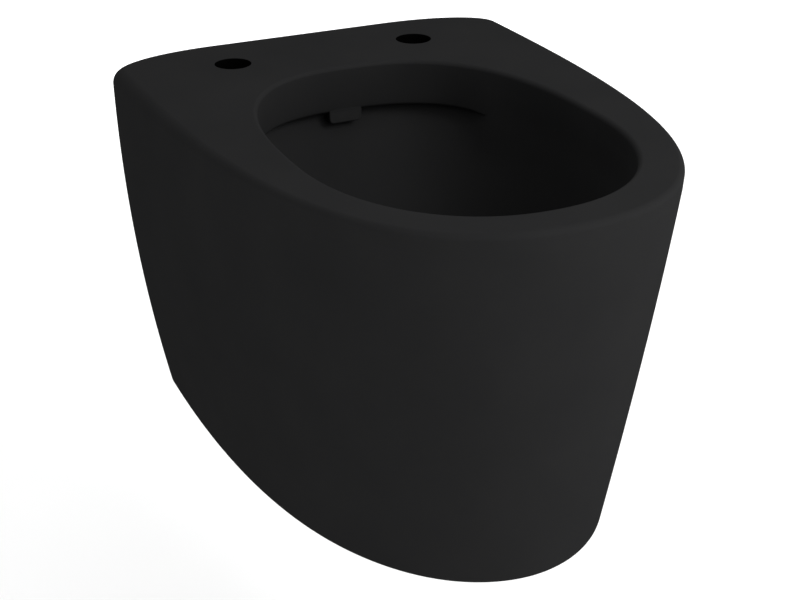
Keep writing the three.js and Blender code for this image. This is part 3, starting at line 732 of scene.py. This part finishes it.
def clamp_housing(name, x, dx):
    """A moulded box, open below, with ribbed cheeks and a round passage for the sleeve's head."""
    front, back, bottom, top = (HOUSING[key] for key in ("front", "back", "bottom", "top"))
    half, wall = HOUSING["half_width"], HOUSING["wall"]
    left, right = x + min(-half, dx - half + 8), x + max(half, dx + half - 8)
    body = moulded(name, rounded_rectangle((left, right), (bottom, top), 3), "y", front, back, 1.2)
    hollow = rounded_rectangle((left + wall, right - wall), (bottom - 20, top - wall), 2.5)
    combine(body, "DIFFERENCE", moulded("hollow", hollow, "y", front + wall, back - wall, 1.5))
    pockets, reach, painted_hole_shade = 3, 6.5, 1.0
    for k in range(pockets):
        middle = mix(front, back, (k + 0.5) / pockets)
        outline = rounded_rectangle((middle - reach, middle + reach), (bottom + 5, top - 6), 2)
        for low, high in ((left - 5, left + painted_hole_shade), (right - painted_hole_shade, right + 5)):
            combine(body, "DIFFERENCE", moulded("pocket", outline, "x", low, high))
    r = HEAD_PASS_R
    passage = [
        (r + 1, front - 2), (r + 1, front), (r, front + 1), (r, back - 1), (r + 1, back), (r + 1, back + 2)]
    hole = [(SCREW["r"] + 0.3, 0), (SCREW["r"] + 0.3, top + 2)]
    return combine(
        body, "DIFFERENCE", turned("passage", passage, "y", (x, 0, 0)),
        turned("screw_hole", hole, "z", (x + dx, SEAT_HOLE.y, 0), 48),
    )


def draw_wedge(name, x, dx):
    """A die-cast fork whose sloping front is toothed where it grips the sleeve's head."""
    tip, base, half = WEDGE["tip"], WEDGE["base"], WEDGE["half_width"]
    slope_end, shelf_top = WEDGE["slope_end"], WEDGE["shelf_top"]
    flat = HOUSING["front"] - JOINT
    thick, thin = flat - WEDGE["thick"], flat - WEDGE["thin"]
    wide = (x - 30, x + 30)
    plate = rounded_rectangle((x - half, x + half), (base, tip), 2.5)
    fork = moulded(name, plate, "y", thick, flat, 0.8)
    slope = np.array([
        (thick - 5, slope_end), (thick, slope_end), (thin, tip), (thin, tip + 5), (thick - 5, tip + 5)])
    combine(fork, "DIFFERENCE", moulded("slope", slope, "x", *wide))
    teeth = 9
    for k in range(teeth):
        share = (k + 0.5) / teeth
        y, z = mix(thick, thin, share), mix(slope_end + 2, tip - 2, share)
        notch = np.array([(y - 0.6, z - 0.45), (y + 0.5, z + 0.1), (y - 0.6, z + 0.6)])
        combine(fork, "DIFFERENCE", moulded("notch", notch, "x", *wide))
    slot_r = SLEEVE["neck_r"] + 0.8
    slot = rounded_rectangle((x - slot_r, x + slot_r), (-slot_r, tip + 20), slot_r - 0.01, 16)
    combine(fork, "DIFFERENCE", moulded("slot", slot, "y", -100, -60))
    shelf = rounded_rectangle(
        (x + min(-half, dx - 8), x + max(half, dx + 8)), (flat - 3, SEAT_HOLE.y + 8), 2.5)
    combine(fork, "UNION", moulded("shelf", shelf, "z", base, shelf_top, 0.8))
    close, free = SCREW["r"] + 0.06, SCREW["r"] + 0.9
    hole = [(free, base - 2), (free, base), (close, base + 0.9)]
    hole += [(close, shelf_top - 0.9), (free, shelf_top), (free, 0)]
    return combine(fork, "DIFFERENCE", turned("screw_hole", hole, "z", (x + dx, SEAT_HOLE.y, 0), 48))


# ---------------------------------------------------------------- finishes


def material(name):
    made = bpy.data.materials.new(name)
    made.use_nodes = True
    tree = made.node_tree
    return made, tree, tree.nodes["Principled BSDF"]


def node(tree, kind, **inputs):
    made = tree.nodes.new(kind)
    for key, value in inputs.items():
        made.inputs[key.replace("_", " ")].default_value = value
    return made


def noise(tree, coordinates, scale, detail=4.0, roughness=0.5):
    made = node(tree, "ShaderNodeTexNoise", Scale=scale, Detail=detail, Roughness=roughness)
    tree.links.new(coordinates, made.inputs["Vector"])
    return made.outputs["Fac"]


def ramp(tree, value, stops):
    """A colour for the value, from stops of (position, grey) or (position, (red, green, blue))."""
    made = tree.nodes.new("ShaderNodeValToRGB")
    elements = made.color_ramp.elements
    while len(elements) < len(stops):
        elements.new(0.5)
    for element, (position, shade) in zip(elements, stops):
        element.position = position
        element.color = (*shade, 1.0) if hasattr(shade, "__len__") else (shade, shade, shade, 1.0)
    tree.links.new(value, made.inputs["Fac"])
    return made.outputs["Color"]


def bump(tree, height, strength, distance, under=None):
    made = node(tree, "ShaderNodeBump", Strength=strength, Distance=distance)
    tree.links.new(height, made.inputs["Height"])
    if under is not None:
        tree.links.new(under, made.inputs["Normal"])
    return made.outputs["Normal"]


def object_coordinates(tree):
    return tree.nodes.new("ShaderNodeTexCoord").outputs["Object"]


def place_along(tree, coordinates, axis):
    split = tree.nodes.new("ShaderNodeSeparateXYZ")
    tree.links.new(coordinates, split.inputs["Vector"])
    return split.outputs[axis]


def blend(tree, share, first, second):
    made = tree.nodes.new("ShaderNodeMix")
    made.data_type = "RGBA"
    for value, socket in ((share, made.inputs[0]), (first, made.inputs[6]), (second, made.inputs[7])):
        tree.links.new(value, socket)
    return made.outputs[2]


def seat_hole_shade_mask(tree, coordinates):
    """Where shade is painted: 1 on the walls of the two seat holes and straight under them, 0 elsewhere."""
    mirrored = node(tree, "ShaderNodeVectorMath")
    mirrored.operation = "ABSOLUTE"
    tree.links.new(coordinates, mirrored.inputs[0])
    level = node(tree, "ShaderNodeVectorMath")
    level.operation = "MULTIPLY"
    level.inputs[1].default_value = (1.0, 1.0, 0.0)
    tree.links.new(mirrored.outputs["Vector"], level.inputs[0])
    away = node(tree, "ShaderNodeVectorMath")
    away.operation = "DISTANCE"
    away.inputs[1].default_value = (SEAT_HOLE.x * MM, -SEAT_HOLE.y * MM, 0.0)
    tree.links.new(level.outputs["Vector"], away.inputs[0])
    mask = node(tree, "ShaderNodeMapRange")
    for key, value in (("From Min", (SEAT_HOLE_R + 0.4) * MM), ("From Max", (SEAT_HOLE_R + 0.1) * MM)):
        mask.inputs[key].default_value = value
    tree.links.new(away.outputs["Value"], mask.inputs["Value"])
    return mask.outputs["Result"]


def near_the_wall(tree, coordinates):
    """1 on the flat back, 0 elsewhere, with a ragged edge."""
    waver = 0.9
    ragged = node(tree, "ShaderNodeMath")
    ragged.operation = "MULTIPLY_ADD"
    ragged.inputs[1].default_value = waver * MM
    tree.links.new(noise(tree, coordinates, 160.0, 3.0), ragged.inputs[0])
    tree.links.new(place_along(tree, coordinates, "Y"), ragged.inputs[2])
    edge = node(tree, "ShaderNodeMapRange")
    for key, value in (("From Min", -0.6 * MM), ("From Max", -0.4 * MM)):
        edge.inputs[key].default_value = value
    tree.links.new(ragged.outputs["Value"], edge.inputs["Value"])
    return edge.outputs["Result"]


def ceramic():
    """Matte black glaze with a fine orange-peel surface, with painted shade, near black, on the seat holes'
    walls; bare clay at the wall.
    """
    made, tree, shader = material("ceramic")
    at = object_coordinates(tree)
    black = [(0.3, (0.0134, 0.0135, 0.0138)), (0.7, (0.0150, 0.0150, 0.0152))]
    glaze = ramp(tree, noise(tree, at, 14.0, 5.0), black)
    # painted shade: the seat holes' walls and what lies straight under them are coloured near black, as if in
    # shadow
    painted_hole_shade = ramp(tree, noise(tree, at, 80.0), [(0.3, 0.0006), (0.7, 0.0010)])
    glaze = blend(tree, seat_hole_shade_mask(tree, at), glaze, painted_hole_shade)
    stoneware = [(0.3, (0.40, 0.38, 0.345)), (0.7, (0.50, 0.48, 0.44))]
    clay = ramp(tree, noise(tree, at, 60.0, 6.0), stoneware)
    bare = near_the_wall(tree, at)
    sheen = ramp(tree, noise(tree, at, 30.0, 6.0), [(0.25, 0.50), (0.75, 0.58)])
    chalk = ramp(tree, noise(tree, at, 90.0, 4.0), [(0.25, 0.86), (0.75, 0.95)])
    tree.links.new(blend(tree, bare, glaze, clay), shader.inputs["Base Color"])
    tree.links.new(blend(tree, bare, sheen, chalk), shader.inputs["Roughness"])
    shader.inputs["Specular IOR Level"].default_value = 0.0
    waves = bump(tree, noise(tree, at, 22.0, 2.0), 0.10, 0.0012)
    tree.links.new(bump(tree, noise(tree, at, 900.0, 3.0), 0.10, 0.0002, waves), shader.inputs["Normal"])
    return made


def surface(name, shades, roughness, grain, relief, metallic=0.0, specular=0.5, stretch=(1.0, 1.0, 1.0)):
    """A mottled finish: shades and roughness as (low, high), grain per metre, relief in metres."""
    made, tree, shader = material(name)
    at = object_coordinates(tree)
    spread = node(tree, "ShaderNodeMapping")
    spread.inputs["Scale"].default_value = stretch
    tree.links.new(at, spread.inputs["Vector"])
    fine = spread.outputs["Vector"]
    mottle = noise(tree, at, grain / 9, 5.0, 0.6)
    tree.links.new(ramp(tree, mottle, [(0.3, shades[0]), (0.7, shades[1])]), shader.inputs["Base Color"])
    worn = noise(tree, fine, grain / 3, 4.0, 0.65)
    tree.links.new(ramp(tree, worn, [(0.3, roughness[0]), (0.7, roughness[1])]), shader.inputs["Roughness"])
    tree.links.new(bump(tree, noise(tree, fine, grain, 3.0), 0.35, relief), shader.inputs["Normal"])
    shader.inputs["Metallic"].default_value = metallic
    shader.inputs["Specular IOR Level"].default_value = specular
    return made, tree, shader


def deflector_plastic():
    shades = ((0.0135, 0.0136, 0.0138), (0.0155, 0.0155, 0.0158))
    return surface("deflector_plastic", shades, (0.48, 0.58), 1500.0, 0.00004, specular=0.03)[0]


def rubber_seal():
    shades = ((0.012, 0.012, 0.012), (0.024, 0.023, 0.022))
    return surface("rubber_seal", shades, (0.68, 0.86), 2400.0, 0.00006, specular=0.3)[0]


def bush_plastic():
    """Natural nylon, slightly translucent."""
    shades = ((0.60, 0.58, 0.50), (0.68, 0.66, 0.58))
    made, _, shader = surface("bush_plastic", shades, (0.40, 0.52), 900.0, 0.00004)
    shader.inputs["Subsurface Weight"].default_value = 0.15
    shader.inputs["Subsurface Radius"].default_value = (0.003, 0.0025, 0.002)
    return made


def housing_nylon():
    """Glass-filled nylon: dark grey with short pale fibres showing in the skin."""
    shades = ((0.070, 0.074, 0.078), (0.092, 0.096, 0.100))
    made, tree, shader = surface("housing_nylon", shades, (0.50, 0.66), 1300.0, 0.00005)
    skin = shader.inputs["Base Color"].links[0].from_socket
    flow = node(tree, "ShaderNodeMapping")
    flow.inputs["Scale"].default_value = (1.0, 0.25, 3.0)
    tree.links.new(object_coordinates(tree), flow.inputs["Vector"])
    fibres = ramp(tree, noise(tree, flow.outputs["Vector"], 700.0, 2.0), [(0.66, 0.0), (0.74, 0.6)])
    glass = [(0.3, (0.17, 0.175, 0.18)), (0.7, (0.22, 0.225, 0.23))]
    pale = ramp(tree, noise(tree, flow.outputs["Vector"], 200.0), glass)
    tree.links.new(blend(tree, fibres, skin, pale), shader.inputs["Base Color"])
    return made


def zinc_steel():
    """Bright zinc plate with a faint blue and yellow cast, over fine turning marks."""
    shades = ((0.56, 0.59, 0.61), (0.66, 0.66, 0.62))
    lathe = (0.3, 2.0, 2.0)
    return surface("zinc_steel", shades, (0.24, 0.40), 1100.0, 0.00003, metallic=1.0, stretch=lathe)[0]


def die_cast_zinc():
    shades = ((0.36, 0.37, 0.38), (0.47, 0.475, 0.48))
    return surface("die_cast_zinc", shades, (0.42, 0.62), 1500.0, 0.00008, metallic=1.0)[0]


def spring_steel():
    shades = ((0.09, 0.09, 0.10), (0.15, 0.145, 0.14))
    return surface("spring_steel", shades, (0.30, 0.48), 1800.0, 0.00003, metallic=1.0)[0]


MAKERS = (
    ceramic, deflector_plastic, rubber_seal, bush_plastic,
    housing_nylon, zinc_steel, die_cast_zinc, spring_steel,
)
FINISHES = {make.__name__: make() for make in MAKERS}
SHARP_ANGLE = math.radians(30.0)


def place(obj, body, slot, replaced):
    """Finishes a piece, smooth except at its real edges, and lets it ride on its body for its CAD node."""
    obj.data.materials.clear()
    obj.data.materials.append(FINISHES[slot])
    obj.data.shade_smooth()
    obj.data.set_sharp_from_angle(angle=SHARP_ANGLE)
    modifier = obj.modifiers.new("weighted", "WEIGHTED_NORMAL")
    modifier.keep_sharp = True
    modifier.weight = 90
    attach(obj, body)
    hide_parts(replaced)


place(rim_and_deck(), "pan", "ceramic", "rim_and_deck")
place(outer_shell(), "pan", "ceramic", "outer_shell")
place(bowl(), "pan", "ceramic", "bowl")
place(trapway(), "pan", "ceramic", "trapway")
place(flush_channel(), "pan", "ceramic", "flush_channel")
place(flush_deflector(), "pan", "deflector_plastic", "flush_deflector")
place(deflector_gasket(), "pan", "rubber_seal", "deflector_gasket")
place(inlet_seal(), "pan", "rubber_seal", "inlet_seal")

for side, hand in ((-1, "left"), (1, "right")):
    stud_x, screw_x = side * STUD_X, side * SEAT_HOLE.x
    at_stud, at_both, at_screw = (stud_x,), (stud_x, screw_x - stud_x), (screw_x, SEAT_HOLE.y)
    for make, made_by, where, body, slot in (
        (stud_sleeve, "plated", at_stud, "pan", "zinc_steel"),
        (hole_bush, "moulded", at_stud, "pan", "bush_plastic"),
        (clamp_housing, "moulded", at_both, "pan", "housing_nylon"),
        (draw_wedge, "cast", at_both, f"wedge_{hand}", "die_cast_zinc"),
        (draw_screw, "plated", at_screw, f"screw_{hand}", "zinc_steel"),
        (thrust_washer, "plated", at_screw, "pan", "zinc_steel"),
        (retaining_clip, "sprung", at_screw, f"screw_{hand}", "spring_steel"),
    ):
        replaced = f"{make.__name__}_{hand}"
        place(make(f"{replaced}_{made_by}", *where), body, slot, replaced)

# ---------------------------------------------------------------- floor, lights and camera

FLOOR_Z, FLOOR_REACH = -550.0, 14000.0


def pale_floor():
    """A pale floor that glows softly towards the distance, so that it stays even past the lights."""
    made, tree, shader = material("pale_floor")
    at = object_coordinates(tree)
    pale = ramp(tree, noise(tree, at, 3.0, 3.0), [(0.3, 0.86), (0.7, 0.88)])
    tree.links.new(pale, shader.inputs["Base Color"])
    shader.inputs["Roughness"].default_value = 0.9
    shader.inputs["Specular IOR Level"].default_value = 0.1
    away = node(tree, "ShaderNodeVectorMath")
    away.operation = "LENGTH"
    tree.links.new(at, away.inputs[0])
    glow = node(tree, "ShaderNodeMapRange")
    glow.interpolation_type = "SMOOTHSTEP"
    for key, value in (("From Min", 0.4), ("From Max", 3.2), ("To Min", 0.03), ("To Max", 0.62)):
        glow.inputs[key].default_value = value
    tree.links.new(away.outputs["Value"], glow.inputs["Value"])
    shader.inputs["Emission Color"].default_value = (1.0, 1.0, 1.0, 1.0)
    tree.links.new(glow.outputs["Result"], shader.inputs["Emission Strength"])
    corners = [(x * FLOOR_REACH, y * FLOOR_REACH, 0) for x, y in ((-1, -1), (1, -1), (1, 1), (-1, 1))]
    floor = new_object("floor", corners, [(0, 1, 2, 3)])
    floor.location.z = FLOOR_Z * MM
    floor.data.materials.append(made)


def softbox(name, location, target, size, power):
    """A rectangular light that the camera doesn't see: places and sizes in metres, power in watts."""
    light = bpy.data.lights.new(name, "AREA")
    light.shape = "RECTANGLE"
    light.size, light.size_y = size
    light.energy = power
    obj = bpy.data.objects.new(name, light)
    obj.location = location
    obj.rotation_mode = "QUATERNION"
    obj.rotation_quaternion = (Vector(target) - Vector(location)).to_track_quat("-Z", "Y")
    obj.visible_camera = False
    bpy.context.scene.collection.objects.link(obj)


pale_floor()
softbox("top_light", (0.0, -0.4, 2.8), (0, -0.25, 0), (3.0, 3.0), 19)
softbox("front_light", (0.4, -3.2, 1.0), (0, -0.25, 0), (1.8, 1.8), 30)
softbox("near_light", (0.45, -0.95, 0.7), (0.05, -0.35, 0.05), (0.4, 0.4), 6.6)
softbox("right_light", (2.6, -1.2, 0.6), (0, -0.25, 0), (1.6, 1.6), 42)
softbox("left_light", (-2.6, -1.2, 1.2), (0, -0.25, 0), (2.0, 2.0), 9)
softbox("back_light", (0.4, 2.6, 1.6), (0, -0.1, 0), (2.4, 1.6), 54)


def studio_world():
    """Dim all round for the light it gives, white where the camera looks past the floor."""
    world = bpy.data.worlds.new("studio")
    world.use_nodes = True
    tree = world.node_tree
    backdrop = tree.nodes["Background"]
    backdrop.inputs["Color"].default_value = (1.0, 1.0, 1.0, 1.0)
    seen = node(tree, "ShaderNodeMapRange")
    seen.inputs["To Min"].default_value = 0.49
    seen.inputs["To Max"].default_value = 1.0
    tree.links.new(tree.nodes.new("ShaderNodeLightPath").outputs["Is Camera Ray"], seen.inputs["Value"])
    tree.links.new(seen.outputs["Result"], backdrop.inputs["Strength"])
    bpy.context.scene.world = world


studio_world()
bpy.context.scene.view_settings.view_transform = "Standard"


def photo_camera():
    """The photograph's view, with the picture shifted as it was cropped."""
    azimuth, elevation, distance = math.radians(-26.02), math.radians(25.653), 1.27263
    target = Vector((0.0, -0.260, -0.070))
    back = Vector((
        math.sin(azimuth) * math.cos(elevation),
        -math.cos(azimuth) * math.cos(elevation),
        math.sin(elevation),
    ))
    data = bpy.data.cameras.new("camera")
    data.sensor_width = 36.0
    data.lens = 77.69
    data.shift_x, data.shift_y = -0.0461, 0.0251
    camera = bpy.data.objects.new("camera", data)
    camera.rotation_mode = "QUATERNION"
    camera.location = target + back * distance
    camera.rotation_quaternion = (-back).to_track_quat("-Z", "Y")
    bpy.context.scene.collection.objects.link(camera)
    bpy.context.scene.camera = camera


photo_camera()
